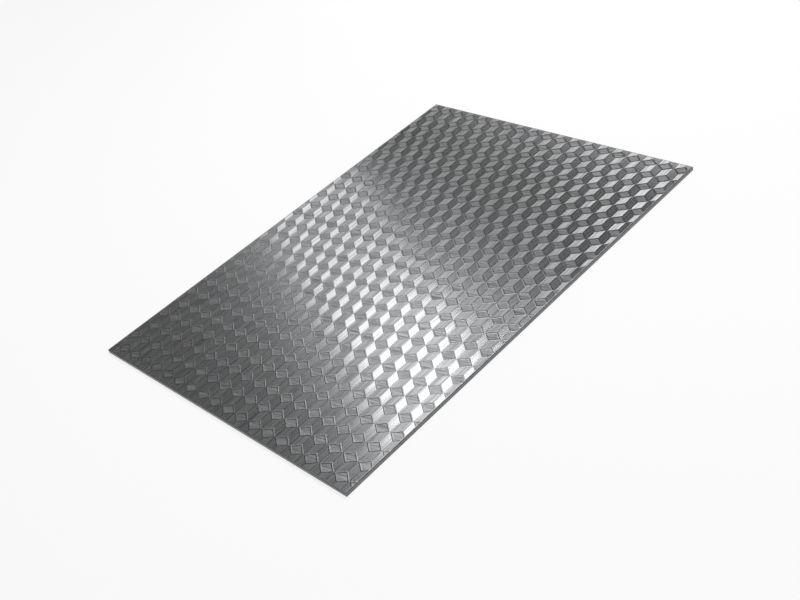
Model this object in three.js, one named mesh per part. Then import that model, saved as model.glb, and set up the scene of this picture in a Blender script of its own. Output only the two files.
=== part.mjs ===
// Checker steel plate: one cut blank of stainless plate, lying flat with its patterned face up.
//
// The blank is a single rolled piece, so it is a single mesh. Its pattern of low cubes is fine
// relief, less than half a millimetre deep, and isn't part of this model: the top face here is the
// level that the crests of the relief reach, which is the face that anything laid on it touches.
//
// Millimetres, +Z up. The origin is the centre of the underside, and +X runs along the length.

import * as THREE from "three";

const LENGTH = 700; // along X, the rolling direction
const WIDTH = 500; // along Y
const THICKNESS = 6; // along Z, from the underside to the crests of the relief
const EDGE_BREAK = 0.3; // chamfer that deburring leaves on all twelve edges

const steel = new THREE.MeshStandardMaterial({
  name: "brushed_stainless",
  color: 0x8f9092,
  roughness: 0.38,
  metalness: 1,
});

// A rectangle centred on the origin.
function rectangle(length, width) {
  const x = length / 2;
  const y = width / 2;
  return new THREE.Shape([
    new THREE.Vector2(-x, -y),
    new THREE.Vector2(x, -y),
    new THREE.Vector2(x, y),
    new THREE.Vector2(-x, y),
  ]);
}

// A flat blank that stands on Z = 0. The outline is drawn smaller by the edge break, and the bevel
// then grows it back to full size, so the overall sizes don't depend on the edge break.
function blank(length, width, thickness, edgeBreak) {
  const outline = rectangle(length - 2 * edgeBreak, width - 2 * edgeBreak);
  const geometry = new THREE.ExtrudeGeometry(outline, {
    depth: thickness - 2 * edgeBreak,
    steps: 1,
    bevelEnabled: true,
    bevelSize: edgeBreak,
    bevelThickness: edgeBreak,
    bevelSegments: 1,
  });
  return geometry.translate(0, 0, edgeBreak);
}

const plate = new THREE.Mesh(blank(LENGTH, WIDTH, THICKNESS, EDGE_BREAK), steel);
plate.name = "checker_plate";

const part = new THREE.Group();
part.name = "checker_steel_plate";
part.add(plate);

export default part;
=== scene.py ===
# %% [markdown]
# # Brushed stainless checker plate
#
# The object is one cut blank of stainless steel, 700 mm long and 500 mm wide. Its top face is rolled
# with a low relief of cubes, each drawn by three rhombs, and each kind of rhomb is brushed its own
# way. It is flat stock, so almost all of its looks come from three things: the shape of the relief,
# the direction of the brushing, and what the metal has around it to reflect.

# %% Tools and the fixed frame
import math

import bmesh
import bpy
import numpy as np
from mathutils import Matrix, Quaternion, Vector


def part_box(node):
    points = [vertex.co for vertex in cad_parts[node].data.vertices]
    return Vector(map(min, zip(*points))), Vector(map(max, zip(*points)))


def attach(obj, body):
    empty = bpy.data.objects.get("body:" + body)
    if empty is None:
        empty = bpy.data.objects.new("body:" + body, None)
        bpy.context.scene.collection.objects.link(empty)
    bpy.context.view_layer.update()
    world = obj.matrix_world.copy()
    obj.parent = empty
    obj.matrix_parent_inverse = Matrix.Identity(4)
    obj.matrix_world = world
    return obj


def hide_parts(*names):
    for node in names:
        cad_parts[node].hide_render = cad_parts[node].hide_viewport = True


MM = 0.001  # the piece's own sizes are in millimetres; camera, lamps and floor are in metres

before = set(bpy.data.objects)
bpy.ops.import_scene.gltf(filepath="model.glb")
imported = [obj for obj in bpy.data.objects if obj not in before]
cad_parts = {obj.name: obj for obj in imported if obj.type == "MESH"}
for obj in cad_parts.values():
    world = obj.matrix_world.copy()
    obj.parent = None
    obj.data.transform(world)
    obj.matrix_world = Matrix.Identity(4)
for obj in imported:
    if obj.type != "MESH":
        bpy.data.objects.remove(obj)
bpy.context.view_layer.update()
print("nodes:", *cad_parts)
plate_low, plate_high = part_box("checker_plate")
LENGTH, WIDTH, THICKNESS = (plate_high - plate_low) / MM
print(f"blank: {LENGTH:.1f} x {WIDTH:.1f} x {THICKNESS:.1f} mm")

# %% [markdown]
# ## Camera
#
# A camera is easiest to set as a person would: where it stands, what it points at, and how far it is
# rolled about its own axis. `to_track_quat` turns the line of sight into a rotation, and the roll is
# one more turn about that line. The lens is a plain 50 mm on a 36 mm wide sensor.

# %% Camera
CAMERA_PLACE = Vector((-0.7596, -1.0356, 0.8927))
CAMERA_TARGET = Vector((-0.0690, -0.0659, 0.0060))
CAMERA_ROLL = math.radians(-17.42)
LENS = 50  # millimetres, as the sensor's width is
SENSOR_WIDTH = 36

camera = bpy.data.objects.new("camera", bpy.data.cameras.new("camera"))
camera.data.lens = LENS
camera.data.sensor_width = SENSOR_WIDTH
camera.location = CAMERA_PLACE
sight = (CAMERA_TARGET - CAMERA_PLACE).to_track_quat("-Z", "Y")
camera.rotation_euler = (sight @ Quaternion((0, 0, 1), CAMERA_ROLL)).to_euler()
bpy.context.scene.collection.objects.link(camera)
bpy.context.scene.camera = camera
bpy.context.scene.view_settings.view_transform = "Standard"
print(f"camera: {(CAMERA_TARGET - CAMERA_PLACE).length:.2f} m from its target")

# %% [markdown]
# ## Three small helpers
#
# Colours are written as sRGB hex values, as a paint chart gives them, but shaders work in linear
# light, so one function turns one into the other. A second function adds a node with its settings
# and links, which keeps a material's recipe readable from top to bottom. A third starts a material
# with nothing in it.


# %% Helpers for materials
def linear(hex_colour):
    """An sRGB colour such as "#8f9092" as linear RGBA: each channel is c / 12.92 below 0.04045,
    and ((c + 0.055) / 1.055) to the power 2.4 above it."""
    channels = np.array([int(hex_colour[i : i + 2], 16) for i in (1, 3, 5)]) / 255
    curved = ((channels + 0.055) / 1.055) ** 2.4
    return (*np.where(channels <= 0.04045, channels / 12.92, curved), 1.0)


def add(tree, kind, settings=None, inputs=None):
    """Adds a node. settings are the node's own options, and each input, by name or number, is
    either a plain value or another node's output socket, which is linked."""
    node = tree.nodes.new(kind)
    for name, value in (settings or {}).items():
        setattr(node, name, value)
    for key, value in (inputs or {}).items():
        if isinstance(value, bpy.types.NodeSocket):
            tree.links.new(value, node.inputs[key])
        else:
            node.inputs[key].default_value = value
    return node


def new_material(name):
    """An empty node material and its node tree."""
    material = bpy.data.materials.new(name)
    material.use_nodes = True
    material.node_tree.nodes.clear()
    return material, material.node_tree


# A Mix node has a set of sockets for each type of data, with the same names. Colours use these.
COLOUR_A = 6
COLOUR_B = 7
COLOUR_RESULT = 2
print(f"#808080, a mid grey to the eye, is {linear('#808080')[0]:.3f} in linear light")

# %% [markdown]
# ## Studio
#
# Bare metal shows the room and not itself, so the room has to be planned. A large key softbox hangs
# high to the right. It lights the floor and the cut edges to a plain level, and the fronts of the
# cubes catch it in the near right-hand corner. The next three stand beyond the plate, where the steel
# can reflect them. The brush marks smear a narrow strip, high up, into the near half of one broad
# bright band, and a tall softbox, low and far away, into its far half. A small one, lower still,
# lifts the fronts and the caps along the right-hand edge. The rest of the room is an even grey above
# a low pale wall, which hides where the floor ends.
#
# A sheet that is walked round needs something to reflect from every side. The last three softboxes
# are for that: the steel turns their light away from this camera, and towards one on another side.


# %% Lamps and world
def softbox(name, azimuth, elevation, distance, width, height, roll, radiance):
    """A rectangular lamp that faces the plate's centre, placed by compass angle and height angle in
    degrees and a distance in metres. Its width and height are in metres, and roll turns it about its
    own axis, in degrees. An area lamp of P watts and area A has a radiance of P / (pi A), so
    P = pi A radiance."""
    lamp = bpy.data.lights.new(name, "AREA")
    lamp.shape = "RECTANGLE"
    lamp.size = width
    lamp.size_y = height
    lamp.energy = math.pi * width * height * radiance
    stand = bpy.data.objects.new(name, lamp)
    az, el = math.radians(azimuth), math.radians(elevation)
    out = Vector((math.cos(el) * math.cos(az), math.cos(el) * math.sin(az), math.sin(el)))
    stand.location = out * distance
    turn = (-out).to_track_quat("-Z", "Y") @ Quaternion((0, 0, 1), math.radians(roll))
    stand.rotation_euler = turn.to_euler()
    stand.visible_camera = False  # only its light and its reflection show, from any side
    bpy.context.scene.collection.objects.link(stand)
    print(f"{name}: {lamp.energy:.1f} W")


softbox("key_softbox", 353.1, 64.2, 2.56, 1.8, 0.6, 10, 15.0)
softbox("band_softbox", 55.5, 67.4, 1.20, 0.28, 1.26, 1, 1.38)
softbox("low_softbox", 31.1, 15.2, 1.20, 0.85, 0.22, -26, 1.34)
softbox("far_softbox", 60.3, 20.9, 3.5, 0.48, 2.2, 6, 0.89)
softbox("near_softbox", 290, 22, 2.6, 2.4, 0.7, 0, 0.6)
softbox("left_softbox", 180, 22, 2.6, 1.6, 0.7, 0, 0.6)
softbox("back_softbox", 98, 11, 2.2, 1.2, 0.3, 0, 1.5)

WALL_TOP = math.sin(math.radians(8))  # the wall is seen up to this height angle, as its sine
WALL_FADE = math.sin(math.radians(12))  # and has faded into the grey at this one
WALL_COLOUR = "#ebebeb"
ROOM_COLOUR = "#646464"

world = bpy.data.worlds.new("grey_studio")
world.use_nodes = True
tree = world.node_tree
direction = add(tree, "ShaderNodeTexCoord").outputs["Generated"]
height = add(tree, "ShaderNodeSeparateXYZ", inputs={0: direction}).outputs["Z"]
above = add(
    tree,
    "ShaderNodeMapRange",
    {"interpolation_type": "SMOOTHSTEP"},
    {"Value": height, "From Min": WALL_TOP, "From Max": WALL_FADE},
)
room = add(
    tree,
    "ShaderNodeMix",
    {"data_type": "RGBA"},
    {
        "Factor": above.outputs[0],
        COLOUR_A: linear(WALL_COLOUR),
        COLOUR_B: linear(ROOM_COLOUR),
    },
)
tree.links.new(room.outputs[COLOUR_RESULT], tree.nodes["Background"].inputs["Color"])
bpy.context.scene.world = world
print(f"room {ROOM_COLOUR}, wall {WALL_COLOUR}")

# %% [markdown]
# ## Floor
#
# The floor is plain white board. To the camera, and to anything shiny, part of its white is given as
# a steady glow, so that it stays white into the corners of the picture; the rest is an ordinary
# matt surface that takes the light, which keeps the plate's soft shadow.

# %% Floor
FLOOR_SIDE = 60.0  # metres
FLOOR_GLOW = 0.83  # share of the white that doesn't depend on the lamps
BOARD_COLOUR = "#f6f6f6"
GLOW_COLOUR = "#ffffff"

floor_mesh = bpy.data.meshes.new("floor")
half = FLOOR_SIDE / 2
floor_mesh.from_pydata(
    [(-half, -half, 0), (half, -half, 0), (half, half, 0), (-half, half, 0)], [], [(0, 1, 2, 3)]
)
floor = bpy.data.objects.new("floor", floor_mesh)
bpy.context.scene.collection.objects.link(floor)
floor_material, tree = new_material("white_board")
path = add(tree, "ShaderNodeLightPath")
seen = path.outputs["Is Camera Ray"]
for ray in ("Is Glossy Ray", "Is Transmission Ray"):
    either = {0: seen, 1: path.outputs[ray]}
    seen = add(tree, "ShaderNodeMath", {"operation": "ADD", "use_clamp": True}, either).outputs[0]
share = add(tree, "ShaderNodeMath", {"operation": "MULTIPLY"}, {0: seen, 1: FLOOR_GLOW})
board = add(tree, "ShaderNodeBsdfDiffuse", inputs={"Color": linear(BOARD_COLOUR)})
glow = add(tree, "ShaderNodeEmission", inputs={"Color": linear(GLOW_COLOUR), "Strength": 1.0})
mixed = add(
    tree,
    "ShaderNodeMixShader",
    inputs={0: share.outputs[0], 1: board.outputs[0], 2: glow.outputs[0]},
)
add(tree, "ShaderNodeOutputMaterial", inputs={"Surface": mixed.outputs[0]})
floor_mesh.materials.append(floor_material)
print(f"floor: {FLOOR_SIDE:.0f} m square, its top at Z = 0")

# %% [markdown]
# ## The pattern of cubes
#
# Three rhombs that meet at one corner look like a cube. One rhomb of each kind starts from every
# corner where six of them meet, so the whole pattern is three small templates, copied to a grid of
# corners. The rhombs themselves are flat. The embossing roll has raised two kinds of thin line on
# them: a low frame just inside every cap, and a still lower ridge, the seam, where a flank meets a
# front. Their real slopes catch the light from any side, and change from bright to dark when the
# sheet is turned; the dark tone of the lines is painted shade on top of that.

# %% Sizes of the relief
CUBE_PITCH = 26.8  # from one column of cubes to the next, and from cube to cube in a column
LEAN_ALONG = 0.6  # a leaning side of length 1 reaches this far along the blank
LEAN_ACROSS = 0.8  # and this far across it, so it is the long side of a 3-4-5 triangle
SIDE = CUBE_PITCH / (1 + LEAN_ALONG)  # of a rhomb: two columns are one side and one lean apart
PATTERN_START = -12.8  # a six-way corner lies here, from the blank's centre along the length
FRAME_HEIGHT = 0.075  # from the flat of the rhombs up to a frame's top, the highest level there is
FRAME_SLOPE_WIDTH = 1.15  # of the slope on either side of a frame's top, seen from above
FRAME_TOP_WIDTH = 0.2
SEAM_HEIGHT = 0.027
SEAM_HALF_WIDTH = 0.9
SEAM_RUN_OUT = 1.5  # the seam falls to the surface over this length before each corner
MARGIN = 1.5  # plain strip that the shear leaves along the edges
ROLL_OVER = 0.05  # how far the shear has pulled the margin down
EDGE_BREAK = 0.3  # chamfer that deburring leaves all round

LENGTHWISE = (SIDE, 0.0)
LEANING_RIGHT = (LEAN_ALONG * SIDE, LEAN_ACROSS * SIDE)
LEANING_LEFT = (-LEAN_ALONG * SIDE, LEAN_ACROSS * SIDE)
# each kind of rhomb: its first corner, from the six-way corner, and its two sides, anticlockwise
RHOMBS = {
    "flank": ((0.0, 0.0), LENGTHWISE, LEANING_RIGHT),
    "front": ((-SIDE, 0.0), LENGTHWISE, LEANING_LEFT),
    "cap": ((0.0, 0.0), LEANING_RIGHT, LEANING_LEFT),
}
SLOPE = math.degrees(math.atan(FRAME_HEIGHT / FRAME_SLOPE_WIDTH))
print(f"rhomb side {SIDE:.2f} mm; frames {FRAME_HEIGHT} mm high, their slopes {SLOPE:.1f} degrees")


# %% Points on a rhomb
def on_rhomb(kind, u, v, height):
    """Points (n, 3) of a rhomb: its first corner plus u times its first side plus v times its
    second, at the given heights."""
    corner, first, second = (np.array(part) for part in RHOMBS[kind])
    flat = corner + np.multiply.outer(u, first) + np.multiply.outer(v, second)
    return np.column_stack([flat, np.broadcast_to(height, len(flat))])


def width_across(kind):
    """Distance between a rhomb's opposite sides: the area of the rhomb over the length of a side."""
    _, first, second = RHOMBS[kind]
    return (first[0] * second[1] - first[1] * second[0]) / SIDE


print(f"a cap is {width_across('cap'):.2f} mm across, a flank {width_across('flank'):.2f} mm")


# %% A cap with its frame
def framed_cap():
    """Nested rings of four points each, from the outline inwards. A ring at a distance d from all
    four sides has its corners at u and v = f or 1 - f, with f = d / the width across, so the frame's
    profile of distances and heights is carried round the outline with mitred corners."""
    widths = (0, FRAME_SLOPE_WIDTH, FRAME_TOP_WIDTH, FRAME_SLOPE_WIDTH)
    f = np.cumsum(widths) / width_across("cap")
    u = np.stack([f, 1 - f, 1 - f, f], -1)
    v = np.stack([f, f, 1 - f, 1 - f], -1)
    height = np.repeat([0, FRAME_HEIGHT, FRAME_HEIGHT, 0], 4)
    points = on_rhomb("cap", u.ravel(), v.ravel(), height)
    ring, side = np.meshgrid(np.arange(len(f) - 1), np.arange(4), indexing="ij")
    here, there = 4 * ring + side, 4 * ring + (side + 1) % 4
    frame_faces = np.stack([here, there, there + 4, here + 4], -1).reshape(-1, 4)
    middle = 4 * (len(f) - 1) + np.arange(4)
    finishes = np.repeat(["frame", "cap", "frame"], 4)  # outer slope, flat top, inner slope
    return points, [*zip(finishes, frame_faces), ("cap", middle)]


cap_points, cap_faces = framed_cap()
print("a framed cap:", len(cap_points), "points,", len(cap_faces), "faces")


# %% A flank or a front with its seams
def seamed_rhomb(kind):
    """Twelve points: the four corners, four points inside that bound the flat, and four on the two
    sides along the length, which lie SEAM_HEIGHT higher and make half of a ridge along each."""
    g = SEAM_RUN_OUT / SIDE
    w = SEAM_HALF_WIDTH / width_across(kind)
    u = np.array([0, 1, 1, 0, g, 1 - g, 1 - g, g, g, 1 - g, 1 - g, g])
    v = np.array([0, 0, 1, 1, w, w, 1 - w, 1 - w, 0, 0, 1, 1])
    height = np.repeat([0, 0, SEAM_HEIGHT], 4)
    seams = [(0, 8, 4), (8, 9, 5, 4), (9, 1, 5), (6, 2, 10), (7, 6, 10, 11), (3, 7, 11)]
    flats = [(0, 4, 7, 3), (4, 5, 6, 7), (5, 1, 2, 6)]
    faces = [("seam", face) for face in seams] + [(kind, face) for face in flats]
    return on_rhomb(kind, u, v, height), faces


FINISHES = ("flank", "front", "cap", "frame", "seam", "margin", "cut", "underside")
template, template_faces = np.empty((0, 3)), []
for points, faces in (seamed_rhomb("flank"), seamed_rhomb("front"), (cap_points, cap_faces)):
    for finish, face in faces:
        template_faces.append((FINISHES.index(finish), len(template) + np.array(face)))
    template = np.concatenate([template, points])
print(f"one cube: {len(template)} points, {len(template_faces)} faces")

# %% [markdown]
# ## From a grid of corners to a sheet
#
# Numpy copies the template to every six-way corner in one step, by adding two arrays. Neighbouring
# rhombs then hold the same points along their shared side, so points that agree to two thousandths
# of a millimetre are merged into one. The sheet is made larger than the blank and sheared to size,
# as the mill does, so the pattern runs out over the edges wherever it happens to.

# %% Copy, merge and shear
SPARE = 2  # rows and columns of corners past each side, for the shear to cut away
SAME_POINT = 0.002  # points closer than this are one
ON_THE_CUT = 0.0005  # a point this near to a cut lies on it

far_column = math.ceil(LENGTH / CUBE_PITCH / 2) + SPARE  # the columns are a pitch apart
far_row = math.ceil(WIDTH / CUBE_PITCH) + SPARE  # and the rows half a pitch
columns = np.arange(-far_column, far_column + 1)
rows = np.arange(-far_row, far_row + 1)
column, row = np.meshgrid(columns, rows, indexing="ij")
even = (column + row) % 2 == 0
corners = np.stack(
    [PATTERN_START + column[even] * CUBE_PITCH, row[even] * CUBE_PITCH / 2, 0 * row[even]], -1
)
level = THICKNESS - FRAME_HEIGHT  # the flat of the rhombs, so that the frames reach the top
sheet = (corners[:, None] + template + (0, 0, level)).reshape(-1, 3)
first_point = np.arange(len(corners)) * len(template)
sheet_faces = [copy for _, face in template_faces for copy in first_point[:, None] + face]
sheet_finish = np.repeat([finish for finish, _ in template_faces], len(corners)).astype(np.int32)

mesh = bpy.data.meshes.new("sheet")
mesh.from_pydata(sheet * MM, [], sheet_faces)
mesh.polygons.foreach_set("material_index", sheet_finish)
print("sheet before shearing:", len(mesh.vertices), "points", len(mesh.polygons), "faces")
sheared = bmesh.new()
sheared.from_mesh(mesh)
bmesh.ops.remove_doubles(sheared, verts=sheared.verts[:], dist=SAME_POINT * MM)
patterned = np.array([LENGTH, WIDTH]) / 2 - MARGIN
for outwards in ((1, 0), (-1, 0), (0, 1), (0, -1)):
    bmesh.ops.bisect_plane(
        sheared,
        geom=sheared.verts[:] + sheared.edges[:] + sheared.faces[:],
        dist=ON_THE_CUT * MM,
        plane_co=(outwards[0] * patterned[0] * MM, outwards[1] * patterned[1] * MM, 0),
        plane_no=(*outwards, 0),
        clear_outer=True,
    )
sheared.to_mesh(mesh)
sheared.free()
print("sheet after shearing:", len(mesh.vertices), "points", len(mesh.polygons), "faces")

# %% [markdown]
# ## Margin, edges and underside
#
# The sheared sheet has one open rim. Four more rings of points close it: the margin, which the
# shear's blade has pulled down a little, the edge break, the cut wall down to the lower edge break,
# and the underside. The rim is put in order by its angle about the centre, which works for any
# outline without dents, and the walls are then plain index sums.


# %% Close the blank
def ring_walls(upper, lower):
    """Quads between two rings of point numbers that run anticlockwise seen from above. Each quad
    goes down at one point and back up at the next, so that its face points outwards."""
    return np.stack([upper, lower, np.roll(lower, -1), np.roll(upper, -1)], -1)


def pushed_out(edge, by):
    """The rim's points moved outwards to by millimetres from the blank's outline, each only along
    the axes on whose side it lies, so that a corner point moves along both."""
    at_side = np.abs(edge[:, :2]) > patterned - SAME_POINT
    return np.where(at_side, np.sign(edge[:, :2]) * (patterned + MARGIN - by), edge[:, :2])


co = np.empty(len(mesh.vertices) * 3)
mesh.vertices.foreach_get("co", co)
co = co.reshape(-1, 3) / MM
rim = np.flatnonzero((np.abs(co[:, :2]) > patterned - SAME_POINT).any(1))
rim = rim[np.argsort(np.arctan2(co[rim, 1] / WIDTH, co[rim, 0] / LENGTH))]
edge = co[rim]
count = len(rim)
margin_level = level - ROLL_OVER
ring_points = [
    np.column_stack([pushed_out(edge, by), np.full(count, height)])
    for by, height in (
        (EDGE_BREAK, margin_level),
        (0, margin_level - EDGE_BREAK),
        (0, EDGE_BREAK),
        (EDGE_BREAK, 0),
    )
]
rings = [rim, *(len(co) + np.arange(4 * count).reshape(4, count))]
walls = np.concatenate([ring_walls(upper, lower) for upper, lower in zip(rings, rings[1:])])
print("rim:", count, "points; walls:", len(walls), "faces")


# %% The whole piece in one mesh
def polygons_of(mesh):
    """Each polygon's point numbers, as a list of arrays."""
    starts = np.empty(len(mesh.polygons), np.int32)
    mesh.polygons.foreach_get("loop_start", starts)
    numbers = np.empty(len(mesh.loops), np.int32)
    mesh.loops.foreach_get("vertex_index", numbers)
    return np.split(numbers, starts[1:])


patterned_faces = polygons_of(mesh)
finishes = np.empty(len(patterned_faces), np.int32)
mesh.polygons.foreach_get("material_index", finishes)
bpy.data.meshes.remove(mesh)

all_points = np.concatenate([co, *ring_points])
underside = [rings[-1][::-1]]
plate_mesh = bpy.data.meshes.new("patterned_plate")
plate_mesh.from_pydata(all_points * MM, [], patterned_faces + list(walls) + underside)
closing = [FINISHES.index(name) for name in ("margin", "cut", "underside")]
faces_of_each = (count, 3 * count, 1)  # one ring of margin, three of cut edge, one underside
finishes = np.concatenate([finishes, np.repeat(closing, faces_of_each)]).astype(np.int32)
plate_mesh.polygons.foreach_set("material_index", finishes)
loop_points = np.empty(len(plate_mesh.loops), np.int32)
plate_mesh.loops.foreach_get("vertex_index", loop_points)
along = all_points[loop_points, :2] / (LENGTH, WIDTH) + 0.5
plate_mesh.uv_layers.new(name="along").uv.foreach_set("vector", along.ravel())
plate = bpy.data.objects.new("patterned_plate", plate_mesh)
bpy.context.scene.collection.objects.link(plate)

check = bmesh.new()
check.from_mesh(plate_mesh)
open_edges = sum(1 for e in check.edges if len(e.link_faces) != 2)
volume = check.calc_volume(signed=True) / MM**3
check.free()
triangles = len(plate_mesh.loops) - 2 * len(plate_mesh.polygons)
print(f"{triangles} triangles, {open_edges} open edges")
print(f"volume {volume / 1000:.1f} cm3, mean thickness {volume / LENGTH / WIDTH:.3f} mm")

# %% [markdown]
# ## Brushed stainless steel
#
# Brushed stainless steel (AISI 304, ground with a 240 grit belt) is bare metal, so it has no colour
# of its own beyond a neutral grey reflection, a touch cool. The belt leaves fine scratches, which
# spread a reflection sideways, across the scratches, far more than along them, and that is what the
# anisotropy does. It needs to know the direction, which it gets from a UV map laid along the length
# and a turn. Each kind of rhomb is brushed its own way, so a lamp that flashes in one kind leaves the
# others dark. Each kind also has a base tone of its own, darkest on the caps and lightest on the
# flanks, which is painted shade; the two together make the flat rhombs look like the three lit and
# shaded faces of a cube. On top of that the eye sees single marks, the coarsest of the grinding. They
# are drawn as streaks of tone and of polish, along the sheet on the flanks and fronts and across it
# on the caps.
#
# The slopes of the frames and of the seams stand proud, so all that slides along the sheet rubs them.
# They are burnished along the length, and their tone is darker than the rhombs', which is painted
# shade: they draw a thin dark line wherever they don't catch a lamp.

# %% Brush marks
# A 240 grit scratch is some 0.05 mm wide, far too fine to show, so the marks are drawn as streaks.
STREAK_WIDTH = 2.0
STREAK_LENGTH = 60
STREAK_GLOSS = 0.05  # a light streak is smoother than the mean by this share, a dark one rougher
NOISE_LOW = 0.3  # a noise is mostly between these two levels
NOISE_HIGH = 0.7
QUARTER_TURN = 0.25  # a reflection is spread at right angles to the scratches
print(f"streaks {STREAK_WIDTH} mm wide and {STREAK_LENGTH} mm long")


# %% Face material
def brushed_steel(name, direction, roughness, anisotropy, dark, light, streaks=0):
    """Brushed stainless whose fine scratches lie at direction, in degrees from the length. A noise,
    stretched to the size of the streaks and turned to the angle streaks, in degrees too, gives each
    point a mark from 0 to 1. The tone is dark + mark (light - dark), and the roughness falls a
    little as the mark rises."""
    material, tree = new_material(name)
    place = add(tree, "ShaderNodeTexCoord").outputs["Object"]
    stretch = add(
        tree,
        "ShaderNodeMapping",
        {"vector_type": "TEXTURE"},
        {
            "Vector": place,
            "Rotation": (0, 0, math.radians(streaks)),
            "Scale": (STREAK_LENGTH * MM, STREAK_WIDTH * MM, STREAK_LENGTH * MM),
        },
    )
    noise = add(
        tree,
        "ShaderNodeTexNoise",
        inputs={"Vector": stretch.outputs[0], "Scale": 1.0, "Detail": 2.0, "Roughness": 0.6},
    ).outputs["Fac"]
    marks = add(
        tree,
        "ShaderNodeMapRange",
        inputs={"Value": noise, "From Min": NOISE_LOW, "From Max": NOISE_HIGH},
    ).outputs[0]
    tone = add(
        tree,
        "ShaderNodeMix",
        {"data_type": "RGBA"},
        {"Factor": marks, COLOUR_A: linear(dark), COLOUR_B: linear(light)},
    ).outputs[COLOUR_RESULT]
    polish = add(
        tree,
        "ShaderNodeMapRange",
        inputs={
            "Value": marks,
            "To Min": roughness * (1 + STREAK_GLOSS),
            "To Max": roughness * (1 - STREAK_GLOSS),
        },
    ).outputs[0]
    tangent = add(tree, "ShaderNodeTangent", {"direction_type": "UV_MAP", "uv_map": "along"})
    steel = add(
        tree,
        "ShaderNodeBsdfPrincipled",
        inputs={
            "Base Color": tone,
            "Metallic": 1.0,
            "Roughness": polish,
            "Anisotropic": anisotropy,
            "Anisotropic Rotation": (QUARTER_TURN + direction / 360) % 1,
            "Tangent": tangent.outputs[0],
        },
    )
    add(tree, "ShaderNodeOutputMaterial", inputs={"Surface": steel.outputs[0]})
    return material


# name, direction, roughness, anisotropy, dark tone and light tone
# within a kind, dark and light are its streaks; that the kinds' tones differ, darkest on the caps, is
# painted shade
steels = [
    # smooth and narrow: a flank is near white in the bright band, and dark as slate outside it
    brushed_steel("brushed_stainless_flank", -1.0, 0.166, 0.97, "#aeafb1", "#e3e4e5"),
    # crosswise and wider: a front keeps some sheen over the whole plate
    brushed_steel("brushed_stainless_front", 124.3, 0.295, 0.74, "#9b9c9e", "#e0e1e2"),
    # the coarsest, with its streaks across the sheet: a cap is the even grey between the other two
    brushed_steel("brushed_stainless_cap", 68.8, 0.313, 0.59, "#858688", "#dedfe0", streaks=105),
    # rubbed dull, with a dark tone that is painted shade: thin dark lines round the caps, bright
    # where a slope faces the lamps
    brushed_steel("burnished_stainless_frame_painted_shade", 1.6, 0.305, 0.97, "#606163", "#6f7072"),
    # less rubbed, with a lighter painted shade: faint lines between flanks and fronts
    brushed_steel("burnished_stainless_seam_painted_shade", 1.1, 0.182, 0.94, "#8f9092", "#a7a8a9"),
]
for material in steels:
    plate_mesh.materials.append(material)
    print("finish:", material.name)


# %% [markdown]
# ## Margin, cut edge and underside
#
# The margin is the same steel with the brushing worn off, so it is plain and a little dull. A sheared
# edge shows zones from top to bottom: a band that the blade has burnished and a duller torn zone, all
# crossed by fine upright lines. It is darkest at the very top, over the edge break, and at its foot
# by the floor, and that darkening is painted shade. The underside keeps the mill's own finish,
# pickled and skin-passed, an even soft grey with faint long clouds. One noise does three things in
# each of
# them, as real marks do: it changes the tone, the polish and the height.


# %% Edge and underside materials
SHADE_LOW = 0.85  # the tone is multiplied by this where the noise is low
SHADE_HIGH = 1.1  # and by this where it is high
GRAIN_GLOSS = 0.15  # the noise changes the roughness by this share, up and down


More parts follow.
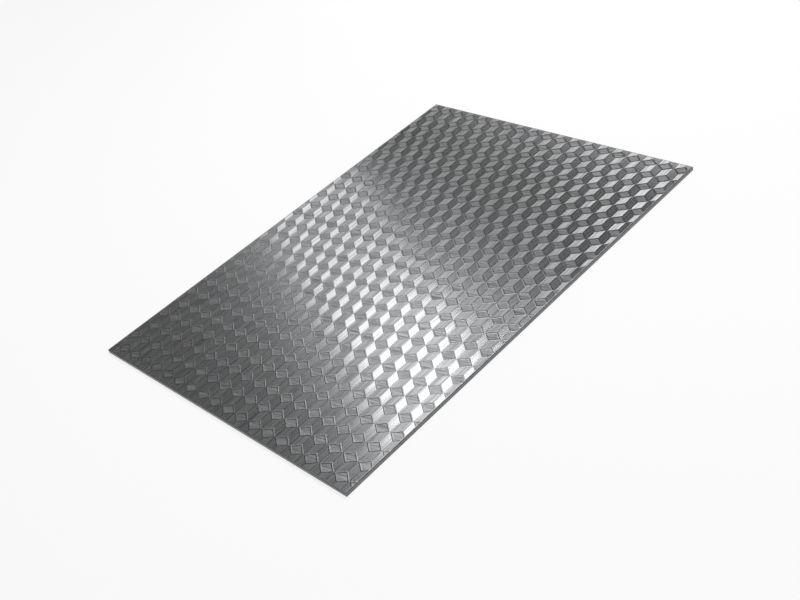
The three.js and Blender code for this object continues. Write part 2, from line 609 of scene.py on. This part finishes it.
def zoned_steel(name, zones, low, high, roughness, grain, depth):
    """Steel whose tone runs through zones, pairs of (share of the way from low to high along Z,
    colour), times a shade that follows a noise. grain gives the noise's size along X, Y and Z, and
    depth how far its high spots stand proud, all in millimetres. High spots are smoother."""
    material, tree = new_material(name)
    place = add(tree, "ShaderNodeTexCoord").outputs["Object"]
    height = add(tree, "ShaderNodeSeparateXYZ", inputs={0: place}).outputs["Z"]
    share = add(
        tree,
        "ShaderNodeMapRange",
        inputs={"Value": height, "From Min": low * MM, "From Max": high * MM},
    )
    ramp = add(tree, "ShaderNodeValToRGB", inputs={0: share.outputs[0]})
    stops = ramp.color_ramp.elements
    stops[0].position, stops[0].color = zones[0][0], linear(zones[0][1])
    stops[1].position, stops[1].color = zones[-1][0], linear(zones[-1][1])
    for position, colour in zones[1:-1]:
        stops.new(position).color = linear(colour)
    stretch = add(
        tree,
        "ShaderNodeMapping",
        {"vector_type": "TEXTURE"},
        {"Vector": place, "Scale": tuple(length * MM for length in grain)},
    )
    noise = add(
        tree, "ShaderNodeTexNoise", inputs={"Vector": stretch.outputs[0], "Scale": 1.0}
    ).outputs["Fac"]
    shade = add(
        tree,
        "ShaderNodeMapRange",
        inputs={
            "Value": noise,
            "From Min": NOISE_LOW,
            "From Max": NOISE_HIGH,
            "To Min": SHADE_LOW,
            "To Max": SHADE_HIGH,
        },
    )
    tone = add(
        tree,
        "ShaderNodeVectorMath",
        {"operation": "SCALE"},
        {0: ramp.outputs[0], "Scale": shade.outputs[0]},
    )
    polish = add(
        tree,
        "ShaderNodeMapRange",
        inputs={
            "Value": noise,
            "To Min": roughness * (1 + GRAIN_GLOSS),
            "To Max": roughness * (1 - GRAIN_GLOSS),
        },
    )
    relief = add(
        tree,
        "ShaderNodeBump",
        inputs={"Strength": 1.0, "Distance": depth * MM, "Height": noise},
    )
    steel = add(
        tree,
        "ShaderNodeBsdfPrincipled",
        inputs={
            "Base Color": tone.outputs[0],
            "Metallic": 1.0,
            "Roughness": polish.outputs[0],
            "Normal": relief.outputs[0],
        },
    )
    add(tree, "ShaderNodeOutputMaterial", inputs={"Surface": steel.outputs[0]})
    return material


plain = [(0, "#9fa0a2"), (1, "#9fa0a2")]
# the edge's tone from its foot up: the dark ends, fading out by 0.2 and back in from 0.85, are
# painted shade
cut = [(0.0, "#4a4a4c"), (0.2, "#77787a"), (0.7, "#8a8b8d"), (0.85, "#56575a"), (1.0, "#4a4a4c")]
mill = [(0, "#b4b5b7"), (1, "#b4b5b7")]
# name, zones, low and high in millimetres, roughness, grain and depth
others = [
    # the last of the brush marks, along the length
    zoned_steel("worn_stainless_margin", plain, 0, 1, 0.36, (60, 2, 60), 0.01),
    # upright lines, under a millimetre wide, that the blade has dragged, with painted shade at the
    # wall's top and foot
    zoned_steel("sheared_stainless_edge", cut, 0, THICKNESS, 0.5, (0.8, 0.8, 12), 0.05),
    # long soft clouds from the rolls
    zoned_steel("pickled_stainless_underside", mill, 0, 1, 0.42, (90, 12, 90), 0.05),
]
for material in others:
    plate_mesh.materials.append(material)
    print("finish:", material.name)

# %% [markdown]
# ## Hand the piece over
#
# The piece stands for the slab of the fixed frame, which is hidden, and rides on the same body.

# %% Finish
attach(plate, "root")
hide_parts("checker_plate")
